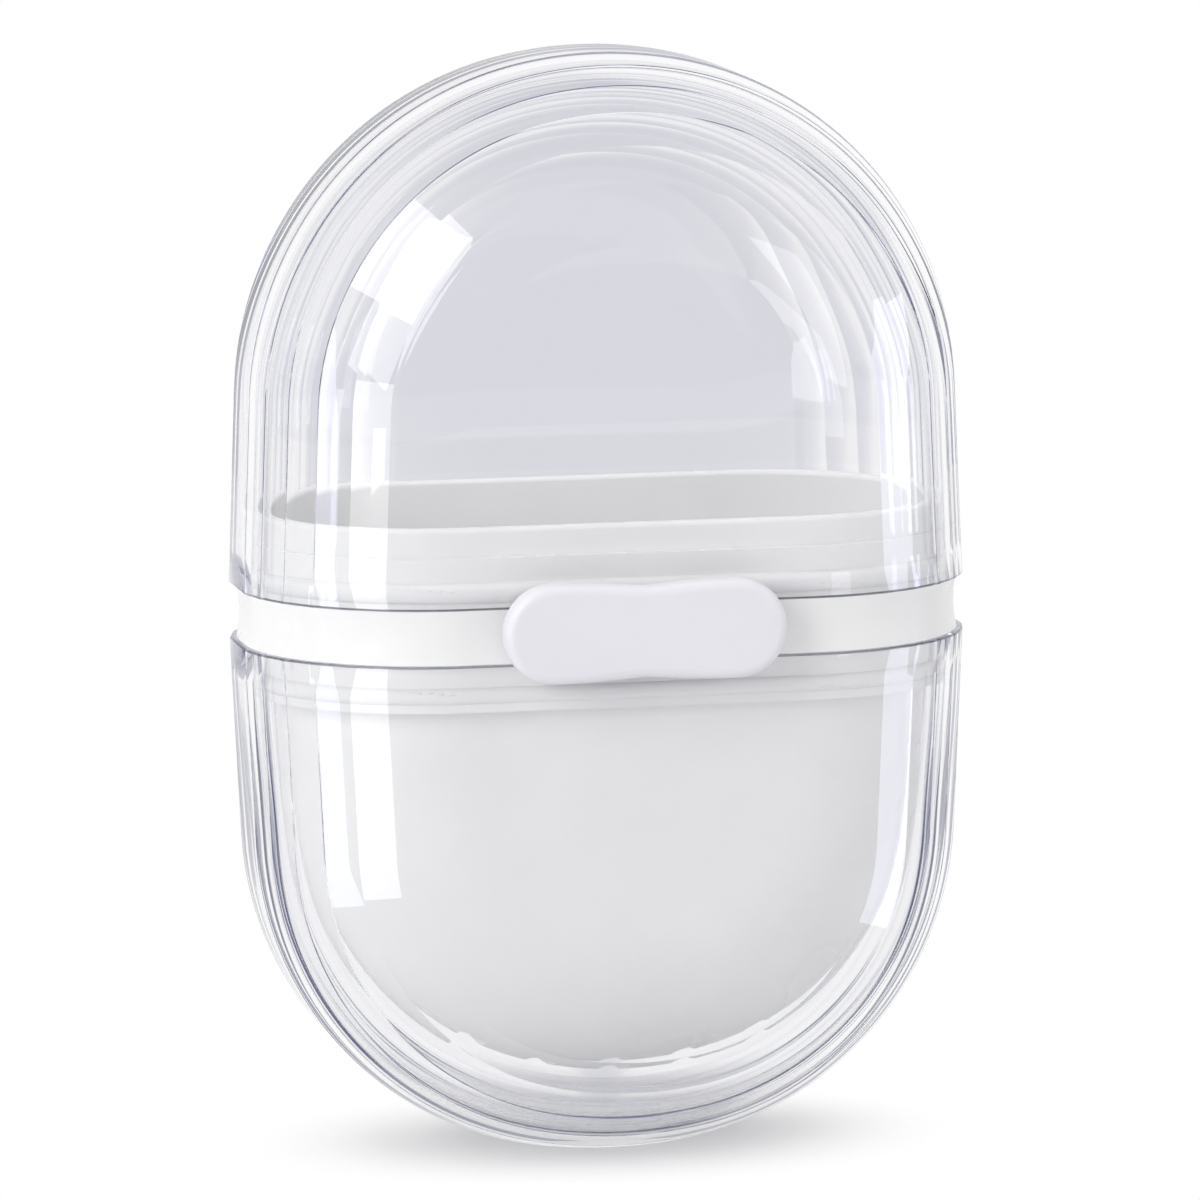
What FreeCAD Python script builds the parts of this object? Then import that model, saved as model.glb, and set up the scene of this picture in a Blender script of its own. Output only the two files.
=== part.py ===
import FreeCAD, Part
import math
import os
from dataclasses import dataclass

# A travel soap box that stands on end: a clear base shell and a clear hinged lid, with a white soap tray
# between them whose collar shows as a band, and a sprung clasp at the front.
# Millimetres. The origin is the middle of the foot, +Z is up and the front faces -Y.

# The capsule
width = 80.0
depth = 46.0
base_height = 56.4
collar_height = 5.9
lid_height = 58.0
side_straight = 3.8
side_flat = 9.7
corner_facets = 7
base_draft = 2.7
lid_draft = 2.2
shell_wall = 2.4

# Each shell's wall is thinner next to its mouth, where it goes round the tray
mouth_wall = 1.1
rebate_spare = 0.6

# How much flatter the crown of each end is than a round one, and how much tighter its shoulders are
base_crown_extra = 10.0
base_shoulder_tuck = 3.5
lid_crown_extra = 3.8
lid_shoulder_tuck = 2.0
foot_trim = 0.5

# The soap tray: bucket, skirt, collar and neck
tray_wall = 1.8
tray_draft = 2.0
tray_crown_extra = 8.0
tray_shoulder_tuck = 4.0
well_depth = 6.1
bucket_inset = 4.1
bucket_side = 3.1
neck_height = 8.6
neck_step_height = 5.5
skirt_depth = 5.3
skirt_gap = 0.65
neck_side_gap = 0.35
collar_inset = 0.55
collar_hollow = 0.35
rim_rounding = 0.5
drain_slots = 5
drain_slot_width = 3.0
drain_slot_length = 18.0
drain_slot_pitch = 8.0

# The silicone rings
seal_height = 1.6
seal_seat = 0.8
seal_gap = 0.35
seal_offset = 1.0
seal_rounding = 0.7

# The lid's hinge, at the back
hinge_barrel_radius = 2.1
hinge_pin_radius = 0.8
hinge_gap = 0.4
knuckle_length = 12.0
ear_length = 7.5
ear_side_gap = 0.25
ear_height = 6.0
ear_root = 0.8
ear_tip_thickness = 0.4
ear_rounding = 2.0
knuckle_web_height = 3.4

# Clearances of the moving pieces
running_clearance = 0.05
swing_clearance = 0.3

# The clasp, at the front
clasp_length = 30.9
clasp_lobe_radius = 5.4
clasp_waist_dip = 0.55
clasp_waist_rounding = 8.0
clasp_thickness = 2.8
clasp_front_rounding = 1.1
clasp_back_rounding = 0.4
clasp_stand_off = 1.5
clasp_rise = 0.6
clasp_pivot_depth = 0.1
clasp_pin_radius = 0.6
clasp_boss_radius = 1.4
clasp_boss_length = 8.0
clasp_boss_gap = 0.35
lug_radius = 1.2
lug_thickness = 2.0
lug_side_gap = 0.3
catch_length = 12.0
catch_height = 0.7
catch_reach = 0.7
catch_lift = 0.1
nib_length = 10.0
nib_height = 0.7
nib_lift = 0.25
nib_clearance = 0.25
tongue_width = 3.0
tongue_thickness = 0.6
tongue_drop = 2.0
tongue_clearance = 0.55

# Spare length of a cutting solid past the face that it opens
cut_over = 2.0

# Levels and axes that the pieces share
base_mouth_z = base_height
lid_mouth_z = base_mouth_z + collar_height
rim_z = lid_mouth_z + neck_height
half_width = width / 2
half_depth = depth / 2
corner_radius = (depth - side_straight) / 2
band_z = base_mouth_z + collar_height / 2
collar_waist_y = half_depth - collar_inset - collar_hollow
hinge_y = collar_waist_y + hinge_gap + hinge_barrel_radius
clasp_pivot_y = -(half_depth - clasp_pivot_depth)
clasp_back_y = -(half_depth + clasp_stand_off)
clasp_pocket_y = clasp_pivot_y + clasp_boss_radius + clasp_boss_gap
tray_floor_z = shell_wall + well_depth

AXIS_X = FreeCAD.Vector(1, 0, 0)
AXIS_Y = FreeCAD.Vector(0, 1, 0)
AXIS_Z = FreeCAD.Vector(0, 0, 1)


def swing_gap(height):
    """Room that the neck leaves inside the lid's front wall at a height, so that the lid's edge swings past."""
    reach = hinge_y + half_depth - mouth_wall
    edge = lid_mouth_z - band_z
    above_axis = lid_mouth_z + height - band_z
    return reach - math.sqrt(reach ** 2 + edge ** 2 - above_axis ** 2) + swing_clearance


def side_gap(height):
    """Room at the neck's sides at a height, where the lid's walls lean in but swing alongside."""
    return neck_side_gap + height * math.tan(math.radians(lid_draft))


neck_step_inset = mouth_wall + swing_gap(neck_step_height)
neck_step_side = mouth_wall + side_gap(neck_step_height)
neck_inset = mouth_wall + swing_gap(neck_height)
neck_side = mouth_wall + side_gap(neck_height)
skirt_inset = mouth_wall + skirt_gap


@dataclass
class Arch:
    """Front outline of one end of the capsule: drafted sides, two shoulders and a crown, all tangent."""

    half: float
    mouth_z: float
    height: float
    sense: int
    draft: float
    crown_extra: float
    shoulder_tuck: float

    def __post_init__(self):
        slope = math.tan(math.radians(self.draft))
        lean = math.radians(self.draft)
        self.slope = slope
        self.lean = lean
        self.crown = self.half + self.crown_extra
        self.shoulder = self.half - self.shoulder_tuck
        across = self.half - self.shoulder * math.cos(lean)
        along = self.shoulder * math.sin(lean) + self.height - self.crown
        spread = self.crown - self.shoulder
        middle = across * slope + along
        scale = 1 + slope ** 2
        root = math.sqrt(middle ** 2 - scale * (across ** 2 + along ** 2 - spread ** 2))
        self.straight = (middle + root) / scale
        self.shoulder_x = across - self.straight * slope
        self.shoulder_t = self.straight - self.shoulder * math.sin(lean)
        self.crown_t = self.height - self.crown

    def at(self, x, t, y):
        """Point at a distance x from the middle and t from the mouth."""
        return FreeCAD.Vector(x, y, self.mouth_z + self.sense * t)

    def wire(self, y, inset=0.0, over=0.0):
        """Closed outline at depth y, moved inwards by inset and carried on past the mouth by over."""
        crown = self.crown - inset
        shoulder = self.shoulder - inset
        turn = math.atan2(self.shoulder_x, self.shoulder_t - self.crown_t)
        start_x = self.half - inset / math.cos(self.lean) + over * self.slope
        side_x = self.shoulder_x + shoulder * math.cos(self.lean)
        side_t = self.shoulder_t + shoulder * math.sin(self.lean)
        join_x = crown * math.sin(turn)
        join_t = self.crown_t + crown * math.cos(turn)
        half_turn = (turn + math.pi / 2 - self.lean) / 2
        mid_x = self.shoulder_x + shoulder * math.sin(half_turn)
        mid_t = self.shoulder_t + shoulder * math.cos(half_turn)
        right_start = self.at(start_x, -over, y)
        right_side = self.at(side_x, side_t, y)
        right_mid = self.at(mid_x, mid_t, y)
        right_join = self.at(join_x, join_t, y)
        apex = self.at(0, self.crown_t + crown, y)
        left_join = self.at(-join_x, join_t, y)
        left_mid = self.at(-mid_x, mid_t, y)
        left_side = self.at(-side_x, side_t, y)
        left_start = self.at(-start_x, -over, y)
        return Part.Wire([
            Part.LineSegment(left_start, right_start).toShape(),
            Part.LineSegment(right_start, right_side).toShape(),
            Part.Arc(right_side, right_mid, right_join).toShape(),
            Part.Arc(right_join, apex, left_join).toShape(),
            Part.Arc(left_join, left_mid, left_side).toShape(),
            Part.LineSegment(left_side, left_start).toShape(),
        ])

    def faceted(self):
        """Solid with flat facets round its corners, from front face to back face."""
        first = math.asin((side_flat / 2 - half_depth + corner_radius) / corner_radius)
        step = (math.pi / 2 - first) / corner_facets
        back = []
        for index in range(corner_facets + 1):
            angle = first + index * step
            inset = corner_radius * (math.cos(first) - math.cos(angle))
            back.append((half_depth - corner_radius * (1 - math.sin(angle)), inset))
        front = [(-y, inset) for y, inset in reversed(back)]
        return Part.makeLoft([self.wire(y, inset) for y, inset in front + back], True, True)

    def cavity(self, rebate_height):
        """Solid to cut from the faceted one: the room inside its wall, wider next to the mouth."""
        room = self.rounded(shell_wall, shell_wall, corner_radius - shell_wall, cut_over)
        rebate = self.rounded(mouth_wall, mouth_wall, corner_radius - mouth_wall, cut_over)
        low, high = sorted((self.mouth_z - self.sense * cut_over, self.mouth_z + self.sense * rebate_height))
        slab = Part.makeBox(width, depth, high - low, FreeCAD.Vector(-half_width, -half_depth, low))
        return room.fuse(rebate.common(slab))

    def rounded(self, inset, depth_inset, rounding, over=0.0):
        """Solid with smoothly rounded corners, moved inwards from the outline and from both faces."""
        reach = half_depth - depth_inset
        face = Part.Face(self.wire(-reach, inset, over))
        block = face.extrude(AXIS_Y * (2 * reach))
        mouth = self.mouth_z - self.sense * over
        edges = []
        for edge in block.Edges:
            low = edge.BoundBox
            flat = low.YLength < 1e-6
            at_mouth = low.ZLength < 1e-6 and abs(low.ZMin - mouth) < 1e-6
            if flat and not at_mouth:
                edges.append(edge)
        return block.makeFillet(rounding, edges)


base_arch = Arch(half_width, base_mouth_z, base_height + foot_trim, -1, base_draft, base_crown_extra,
                 base_shoulder_tuck)
lid_arch = Arch(half_width, lid_mouth_z, lid_height, 1, lid_draft, lid_crown_extra, lid_shoulder_tuck)
tray_arch = Arch(half_width - bucket_side, rim_z, rim_z - tray_floor_z, -1, tray_draft, tray_crown_extra,
                 tray_shoulder_tuck)


def oval(inset, side, z):
    """Rounded rectangle of the capsule's mouth at height z, moved inwards by inset, and by side at the sides."""
    x = half_width - side
    y = half_depth - inset
    radius = corner_radius - side
    low = radius * (1 - math.sqrt(0.5))
    edges = []
    for right, back in ((1, -1), (1, 1), (-1, 1), (-1, -1)):
        on_side = FreeCAD.Vector(right * x, back * (y - radius), z)
        on_face = FreeCAD.Vector(right * (x - radius), back * y, z)
        between = FreeCAD.Vector(right * (x - low), back * (y - low), z)
        ends = (on_face, on_side) if right * back < 0 else (on_side, on_face)
        if edges:
            edges.append(Part.LineSegment(edges[-1].Vertexes[-1].Point, ends[0]).toShape())
        else:
            first = ends[0]
        edges.append(Part.Arc(ends[0], between, ends[1]).toShape())
    edges.append(Part.LineSegment(edges[-1].Vertexes[-1].Point, first).toShape())
    return Part.Wire(edges)


def oval_prism(inset, side, low, high):
    """Upright prism on the mouth's outline between two heights."""
    return Part.Face(oval(inset, side, low)).extrude(AXIS_Z * (high - low))


def seal_ring(shell_inset, seat_inset, seat_side, low):
    """Rounded silicone ring between its seat and just short of the shell, standing on height low."""
    outside = shell_inset + seal_gap
    ring = oval_prism(outside, outside, low, low + seal_height)
    edges = [edge for edge in ring.Edges if edge.BoundBox.ZLength < 1e-6]
    ring = ring.makeFillet(seal_rounding, edges)
    return ring.cut(oval_prism(seat_inset, seat_side, low - cut_over, low + seal_height + cut_over))


def rod(radius, length, y, z):
    """Round rod along X, centred on the middle of the box."""
    return Part.makeCylinder(radius, length, FreeCAD.Vector(-length / 2, y, z), AXIS_X)


def bar(points, length, middle=0.0):
    """Bar along X whose section is a closed outline of (y, z) points."""
    corners = [FreeCAD.Vector(middle - length / 2, y, z) for y, z in points]
    return Part.Face(Part.makePolygon(corners + corners[:1])).extrude(AXIS_X * length)


def block(length, y_low, y_high, z_low, z_high, middle=0.0):
    """Bar along X with a rectangular section."""
    return bar(((y_low, z_low), (y_high, z_low), (y_high, z_high), (y_low, z_high)), length, middle)


lid_seal_z = lid_mouth_z + seal_offset
base_seal_z = base_mouth_z - skirt_depth + seal_offset
lid_seal_seat = neck_step_inset + seal_seat
lid_seal_side = neck_step_side + seal_seat
base_seal_seat = skirt_inset + seal_seat


def base_shell():
    trim = block(width, -depth, depth, -foot_trim - cut_over, 0)
    return base_arch.faceted().cut(base_arch.cavity(skirt_depth + rebate_spare)).cut(trim)


def lid_shell():
    shell = lid_arch.faceted().cut(lid_arch.cavity(neck_height + rebate_spare))
    leg_front = half_depth - collar_inset + hinge_gap
    leg_top = lid_mouth_z + ear_height
    leg = (
        (leg_front, band_z),
        (hinge_y + hinge_barrel_radius, band_z),
        (half_depth + ear_tip_thickness, leg_top),
        (half_depth - ear_root, leg_top),
        (half_depth - ear_root, lid_mouth_z),
        (leg_front, lid_mouth_z),
    )
    for side in (-1, 1):
        middle = side * (knuckle_length / 2 + ear_side_gap + ear_length / 2)
        start = FreeCAD.Vector(middle - ear_length / 2, hinge_y, band_z)
        barrel = Part.makeCylinder(hinge_barrel_radius, ear_length, start, AXIS_X)
        ear = bar(leg, ear_length, middle)
        corners = [edge for edge in ear.Edges
                   if edge.BoundBox.XLength < 1e-6 and abs(edge.BoundBox.ZMin - leg_top) < 1e-6]
        shell = shell.fuse([ear.makeFillet(ear_rounding, corners), barrel])
    catch_z = lid_mouth_z + catch_lift
    catch = (
        (-half_depth + ear_root, catch_z),
        (-half_depth + ear_root, catch_z + catch_height),
        (-half_depth, catch_z + catch_height),
        (-half_depth - catch_reach, catch_z + catch_height / 2),
        (-half_depth - catch_reach, catch_z),
    )
    shell = shell.fuse(bar(catch, catch_length))
    bore = rod(hinge_pin_radius + running_clearance, width, hinge_y, band_z)
    return shell.cut(bore).removeSplitter()


def collar():
    """Hollow-sided band between the two shells."""
    collar_waist = collar_inset + collar_hollow
    sections = [
        oval(collar_inset, collar_inset, base_mouth_z),
        oval(collar_waist, collar_waist, band_z),
        oval(collar_inset, collar_inset, lid_mouth_z),
    ]
    return Part.makeLoft(sections, True, False)


def drain_cutters():
    """Row of round-ended slots through the tray's floor."""
    straight = drain_slot_length - drain_slot_width
    radius = drain_slot_width / 2
    height = tray_floor_z + tray_wall + tray_arch.shoulder
    cutters = []
    for index in range(drain_slots):
        x = (index - (drain_slots - 1) / 2) * drain_slot_pitch
        slot = Part.makeBox(drain_slot_width, straight, height, FreeCAD.Vector(x - radius, -straight / 2, 0))
        for end in (-1, 1):
            slot = slot.fuse(Part.makeCylinder(radius, height, FreeCAD.Vector(x, end * straight / 2, 0)))
        cutters.append(slot)
    return cutters


def soap_tray():
    rounding = corner_radius - bucket_side
    bucket = tray_arch.rounded(0, bucket_inset, rounding)
    hollow = tray_arch.rounded(tray_wall, bucket_inset + tray_wall, rounding - tray_wall, cut_over)
    neck = oval_prism(neck_inset, neck_side, lid_mouth_z, rim_z)
    neck_room = oval_prism(neck_inset + tray_wall, neck_side + tray_wall, lid_mouth_z, rim_z + cut_over)
    step = oval_prism(neck_step_inset, neck_step_side, lid_mouth_z, lid_mouth_z + neck_step_height)
    skirt = oval_prism(skirt_inset, skirt_inset, base_mouth_z - skirt_depth, base_mouth_z)
    tray = bucket.fuse([neck, step, skirt, collar()]).cut(hollow.fuse(neck_room))
    rim = [edge for edge in tray.Edges
           if abs(edge.BoundBox.ZMin - rim_z) < 1e-4 and edge.BoundBox.ZLength < 1e-4]
    tray = tray.makeFillet(rim_rounding, rim)
    for low, seat, seat_side in (
        (lid_seal_z, lid_seal_seat, lid_seal_side),
        (base_seal_z, base_seal_seat, base_seal_seat),
    ):
        groove = oval_prism(0, 0, low, low + seal_height)
        tray = tray.cut(groove.cut(oval_prism(seat, seat_side, low, low + seal_height)))
    knuckle = rod(hinge_barrel_radius, knuckle_length, hinge_y, band_z)
    web = block(knuckle_length, collar_waist_y - tray_wall, hinge_y, band_z - knuckle_web_height / 2,
                band_z + knuckle_web_height / 2)
    tray = tray.fuse([knuckle, web])
    pocket_length = clasp_boss_length + 2 * lug_side_gap
    pocket = block(pocket_length, -depth, clasp_pocket_y, base_mouth_z + collar_hollow,
                   lid_mouth_z - collar_hollow)
    tray = tray.cut(pocket)
    for side in (-1, 1):
        middle = side * (pocket_length + lug_thickness) / 2
        start = FreeCAD.Vector(middle - lug_thickness / 2, clasp_pivot_y, band_z)
        lug = Part.makeCylinder(lug_radius, lug_thickness, start, AXIS_X)
        root = block(lug_thickness, clasp_pivot_y, -collar_waist_y + tray_wall, band_z - lug_radius,
                     band_z + lug_radius, middle)
        tray = tray.fuse([lug, root])
    tray = tray.cut(rod(hinge_pin_radius, width, hinge_y, band_z))
    tray = tray.cut(rod(clasp_pin_radius, width, clasp_pivot_y, band_z))
    tray = tray.cut(drain_cutters())
    return tray.removeSplitter()


def hinge_pin():
    length = knuckle_length + 2 * (ear_side_gap + ear_length)
    return rod(hinge_pin_radius, length, hinge_y, band_z)


def clasp_pin():
    length = clasp_boss_length + 2 * (lug_side_gap + lug_thickness)
    return rod(clasp_pin_radius, length, clasp_pivot_y, band_z)


def lid_seal():
    lean = lid_arch.slope * (seal_offset + seal_height)
    return seal_ring(mouth_wall + lean, lid_seal_seat, lid_seal_side, lid_seal_z)


def base_seal():
    lean = base_arch.slope * (skirt_depth - seal_offset)
    return seal_ring(mouth_wall + lean, base_seal_seat, base_seal_seat, base_seal_z)


def clasp_plate():
    """Peanut-shaped plate: two round lobes, joined by gently arched edges that meet in a soft waist."""
    lobe_x = clasp_length / 2 - clasp_lobe_radius
    waist = clasp_lobe_radius - clasp_waist_dip
    arch_radius = (lobe_x ** 2 + clasp_waist_dip ** 2) / (2 * clasp_waist_dip)
    half_angle = math.asin(lobe_x / arch_radius) / 2
    mid_x = lobe_x - arch_radius * math.sin(half_angle)
    mid_z = clasp_lobe_radius - arch_radius * (1 - math.cos(half_angle))

    def at(x, z):
        return FreeCAD.Vector(x, clasp_back_y, band_z + clasp_rise + z)

    top, bottom = at(0, waist), at(0, -waist)
    edges = []
    for side in (1, -1):
        upper, lower = at(side * lobe_x, clasp_lobe_radius), at(side * lobe_x, -clasp_lobe_radius)
        tip = at(side * clasp_length / 2, 0)
        edges.append(Part.Arc(top, at(side * mid_x, mid_z), upper).toShape())
        edges.append(Part.Arc(upper, tip, lower).toShape())
        edges.append(Part.Arc(lower, at(side * mid_x, -mid_z), bottom).toShape())
    outline = Part.Wire(Part.__sortEdges__(edges))
    plate = Part.Face(outline).extrude(AXIS_Y * -clasp_thickness)
    waists = [edge for edge in plate.Edges if edge.BoundBox.YLength > clasp_thickness / 2
              and abs(edge.CenterOfMass.x) < 1e-6]
    plate = plate.makeFillet(clasp_waist_rounding, waists)
    front_y = clasp_back_y - clasp_thickness
    for y, rounding in ((front_y, clasp_front_rounding), (clasp_back_y, clasp_back_rounding)):
        rim = [edge for edge in plate.Edges
               if abs(edge.BoundBox.YMin - y) < 1e-4 and abs(edge.BoundBox.YMax - y) < 1e-4]
        plate = plate.makeFillet(rounding, rim)
    return plate


def front_clasp():
    plate = clasp_plate()
    root_y = clasp_back_y - clasp_thickness / 2
    boss = rod(clasp_boss_radius, clasp_boss_length, clasp_pivot_y, band_z)
    neck = block(clasp_boss_length, root_y, clasp_pivot_y, band_z - clasp_boss_radius, band_z + clasp_boss_radius)
    nib_z = lid_mouth_z + catch_lift + catch_height + nib_lift
    nib_y = -half_depth - catch_reach - nib_clearance
    nib = block(nib_length, root_y, nib_y, nib_z, nib_z + nib_height)
    tongue_y = clasp_pocket_y - tongue_clearance
    tongue_z = band_z - tongue_drop
    tongue = block(tongue_width, root_y, tongue_y, tongue_z - tongue_thickness / 2, tongue_z + tongue_thickness / 2)
    clasp = plate.fuse([boss, neck, nib, tongue])
    bore = rod(clasp_pin_radius + running_clearance, width, clasp_pivot_y, band_z)
    return clasp.cut(bore).removeSplitter()


def main():
    os.makedirs("parts", exist_ok=True)
    for piece in (base_shell, soap_tray, lid_shell, hinge_pin, front_clasp, clasp_pin, lid_seal, base_seal):
        shape = piece()
        shape.exportStep(f"parts/{piece.__name__}.step")
        print(piece.__name__, shape.ShapeType, len(shape.Solids), shape.isValid(), round(shape.Volume, 1))


main()
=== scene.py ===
"""Looks of a clear travel soap box with a white lift-out tray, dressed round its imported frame."""

import logging
import math
from dataclasses import dataclass
from enum import Enum
from typing import Any, NamedTuple, Optional, Sequence

import bmesh
import bpy
import numpy as np
from mathutils import Matrix, Quaternion, Vector


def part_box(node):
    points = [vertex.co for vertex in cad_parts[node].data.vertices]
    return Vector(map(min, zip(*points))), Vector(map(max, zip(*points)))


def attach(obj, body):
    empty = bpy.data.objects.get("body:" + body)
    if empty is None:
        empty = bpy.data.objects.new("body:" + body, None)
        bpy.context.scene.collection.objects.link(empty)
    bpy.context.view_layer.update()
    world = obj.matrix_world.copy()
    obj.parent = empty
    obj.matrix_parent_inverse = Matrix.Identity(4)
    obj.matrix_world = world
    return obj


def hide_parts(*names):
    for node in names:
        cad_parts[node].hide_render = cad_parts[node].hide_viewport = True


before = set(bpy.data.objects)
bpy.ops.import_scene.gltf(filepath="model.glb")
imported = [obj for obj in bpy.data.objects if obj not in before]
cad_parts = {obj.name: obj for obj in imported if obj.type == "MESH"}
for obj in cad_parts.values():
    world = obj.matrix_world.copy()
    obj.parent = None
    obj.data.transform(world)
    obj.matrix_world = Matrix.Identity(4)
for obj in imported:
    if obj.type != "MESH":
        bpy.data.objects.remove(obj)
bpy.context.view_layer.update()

LOG = logging.getLogger("soap_box")
MM = 0.001
NOISE_LOW, NOISE_HIGH = 0.3, 0.7  # between these lies nearly all of a noise
SAME_PLACE = 1e-7  # metres; points closer than this are level


class Slot(str, Enum):
    """Material slots of the record."""

    CLEAR = "clear_shell"
    TRAY = "tray"
    CLASP = "clasp"
    PIN = "pin"
    SEAL = "seal"


class Body(str, Enum):
    """Bodies of the record that a piece can ride on."""

    BASE = "base"
    TRAY = "tray"
    LID = "lid"
    CLASP = "clasp"


class LampRole(Enum):
    """What a lamp does: lights matt surfaces, or shows as a reflection."""

    LIGHT = "light"
    GLINT = "glint"


class Sense(int, Enum):
    """Which way an end of the capsule points from its mouth."""

    UP = 1
    DOWN = -1


def linear(colour: str) -> tuple[float, float, float, float]:
    """Turns an sRGB hex colour into linear values.

    Args:
        colour: Six hex digits after a hash sign.

    Returns:
        Red, green, blue and an alpha of 1.
    """
    channels = []
    for start in (1, 3, 5):
        value = int(colour[start:start + 2], 16) / 255
        channels.append(value / 12.92 if value <= 0.04045 else ((value + 0.055) / 1.055) ** 2.4)
    return (*channels, 1.0)


def add_node(tree: bpy.types.NodeTree, kind: str, inputs: Optional[dict[Any, Any]] = None,
             **settings: Any) -> bpy.types.Node:
    """Adds a node with its settings and links.

    Args:
        tree: Node tree that takes the node.
        kind: Blender's name for the kind of node.
        inputs: Values, or sockets to link from, by the input's name or number.
        settings: Properties of the node itself.

    Returns:
        The new node.
    """
    node = tree.nodes.new(kind)
    for name, value in settings.items():
        setattr(node, name, value)
    for key, value in (inputs or {}).items():
        if isinstance(value, bpy.types.NodeSocket):
            tree.links.new(value, node.inputs[key])
        else:
            node.inputs[key].default_value = value
    return node


@dataclass(frozen=True)
class Finish:
    """One surface finish: a material's name, colour and gloss."""

    name: str
    colour: str
    roughness: float = 0.5
    ior: float = 1.5

    def material(self) -> bpy.types.Material:
        """Makes the material, once for each finish.

        Returns:
            The material of that name.
        """
        found = bpy.data.materials.get(self.name)
        if found is not None:
            return found
        material = bpy.data.materials.new(self.name)
        material.use_nodes = True
        tree = material.node_tree
        tree.nodes.clear()
        add_node(tree, "ShaderNodeOutputMaterial", {"Surface": self.surface(tree)})
        return material

    def surface(self, tree: bpy.types.NodeTree) -> bpy.types.NodeSocket:
        """Builds the shader; each finish has its own."""
        raise NotImplementedError

    def noise(self, tree: bpy.types.NodeTree, spacing: float, detail: float = 2.0,
              stretch: Sequence[float] = (1.0, 1.0, 1.0)) -> bpy.types.NodeSocket:
        """Adds cloudy noise in the piece's own space.

        Args:
            tree: Node tree of the material.
            spacing: Size of one cloud, in millimetres.
            detail: How many finer layers it has.
            stretch: How much closer the clouds lie along each axis.

        Returns:
            The noise's value, from 0 to 1.
        """
        place = add_node(tree, "ShaderNodeTexCoord").outputs["Object"]
        place = add_node(tree, "ShaderNodeMapping", {"Vector": place, "Scale": stretch}).outputs["Vector"]
        inputs = {"Vector": place, "Scale": 1 / (spacing * MM), "Detail": detail}
        return add_node(tree, "ShaderNodeTexNoise", inputs).outputs["Fac"]

    def varied(self, tree: bpy.types.NodeTree, value: bpy.types.NodeSocket, low: float,
               high: float) -> bpy.types.NodeSocket:
        """Maps the middle of a noise to a range.

        Args:
            tree: Node tree of the material.
            value: Noise to map.
            low: Result where the noise is low.
            high: Result where the noise is high.

        Returns:
            The mapped value.
        """
        return add_node(tree, "ShaderNodeMapRange", {
            "Value": value,
            "From Min": NOISE_LOW,
            "From Max": NOISE_HIGH,
            "To Min": low,
            "To Max": high,
        }).outputs["Result"]

    def bump(self, tree: bpy.types.NodeTree, height: bpy.types.NodeSocket,
             depth: float) -> bpy.types.NodeSocket:
        """Turns a height into a normal.

        Args:
            tree: Node tree of the material.
            height: Height, from 0 to 1.
            depth: What a height of 1 stands for, in millimetres.

        Returns:
            The bumped normal.
        """
        inputs = {"Height": height, "Distance": depth * MM, "Strength": 1.0}
        return add_node(tree, "ShaderNodeBump", inputs).outputs["Normal"]


@dataclass(frozen=True)
class ClearStyrene(Finish):
    """Styrene acrylonitrile, moulded in a polished tool.

    It is clear with a faint grey body, mirror-glossy, and its faces wave very slightly where the melt flowed.
    Lamps shine through it, so what stands behind it is lit. Rays that stay trapped in the wall get out with a
    grey-blue tint, painted shade that draws the fine dark lines at the edges.
    """

    flow_spacing: float = 16.0
    flow_stretch: tuple[float, float, float] = (1.0, 1.0, 0.5)
    flow_depth: float = 0.003
    lamp_tint: str = "#FBFBFB"
    trapped_after: float = 3.5
    # Painted shade: the grey-blue colour that trapped rays pass out with, which draws dark lines at the
    # edges.
    trapped_painted_shade: str = "#C4C6D2"

    def surface(self, tree: bpy.types.NodeTree) -> bpy.types.NodeSocket:
        """Builds the clear shader, which lets rays to lamps and trapped rays straight through."""
        flow = self.noise(tree, self.flow_spacing, 1.0, self.flow_stretch)
        clear = add_node(tree, "ShaderNodeBsdfPrincipled", {
            "Base Color": linear(self.colour),
            "Roughness": self.roughness,
            "IOR": self.ior,
            "Transmission Weight": 1.0,
            "Normal": self.bump(tree, flow, self.flow_depth),
        })
        path = add_node(tree, "ShaderNodeLightPath").outputs
        trapped = add_node(tree, "ShaderNodeMath", {0: path["Glossy Depth"], 1: self.trapped_after},
                           operation="GREATER_THAN")
        to_lamp = add_node(tree, "ShaderNodeMath", {0: path["Is Shadow Ray"], 1: path["Is Diffuse Ray"]},
                           operation="MAXIMUM")
        shader = clear.outputs[0]
        # The trapped rays' colour is painted shade; the lamps' colour dims the light that passes the wall.
        for share, tint in ((trapped, self.trapped_painted_shade), (to_lamp, self.lamp_tint)):
            passing = add_node(tree, "ShaderNodeBsdfTransparent", {"Color": linear(tint)})
            shader = add_node(tree, "ShaderNodeMixShader", {
                0: share.outputs[0],
                1: shader,
                2: passing.outputs[0],
            }).outputs[0]
        return shader


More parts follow.
